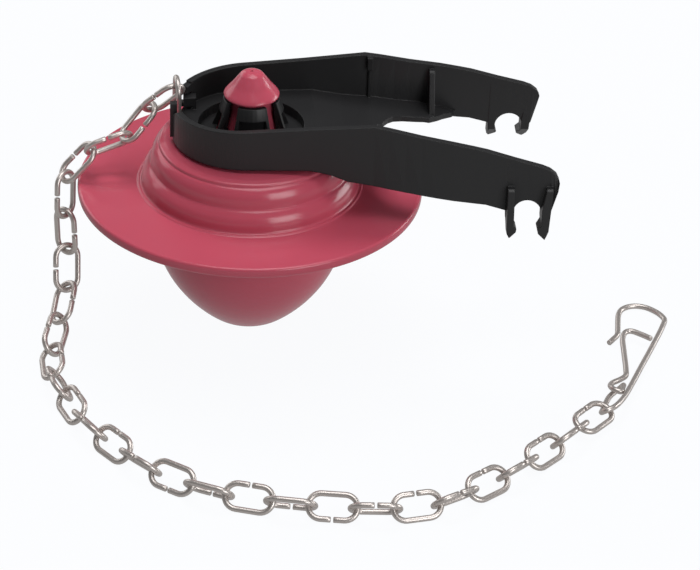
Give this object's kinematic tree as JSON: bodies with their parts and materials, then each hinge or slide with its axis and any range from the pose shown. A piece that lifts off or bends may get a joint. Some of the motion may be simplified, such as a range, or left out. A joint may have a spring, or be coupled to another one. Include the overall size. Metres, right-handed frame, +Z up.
{
  "type": "toilet_flapper",
  "caption": "Cistern flapper with a red rubber bulb and seal on a black plastic yoke with two peg clips, and a steel pull chain ending in a wire snap hook.",
  "frame": {"origin": "centre of the sealing disc's underside", "axes": "+X from the hub towards the peg clips, +Y to the far arm, +Z up from the valve seat"},
  "size_m": [0.1416, 0.1198, 0.0623],
  "materials": {
    "rubber": "glossy red",
    "plastic": "satin black",
    "steel": "plain bent wire"
  },
  "bodies": {
    "root": {"frame": "plastic", "seal": "rubber", "chain_link_01": "steel", "chain_link_02": "steel", "chain_link_03": "steel", "chain_link_04": "steel", "chain_link_05": "steel", "chain_link_06": "steel", "chain_link_07": "steel", "chain_link_08": "steel", "chain_link_09": "steel", "chain_link_10": "steel", "chain_link_11": "steel", "chain_link_12": "steel", "chain_link_13": "steel", "chain_link_14": "steel", "chain_link_15": "steel", "chain_link_16": "steel", "chain_link_17": "steel", "chain_link_18": "steel", "chain_link_19": "steel", "chain_link_20": "steel", "chain_link_21": "steel", "chain_link_22": "steel", "chain_link_23": "steel", "chain_link_24": "steel", "chain_link_25": "steel", "chain_link_26": "steel", "chain_link_27": "steel", "chain_link_28": "steel", "chain_link_29": "steel", "snap_hook": "steel"}
  },
  "joints": []
}
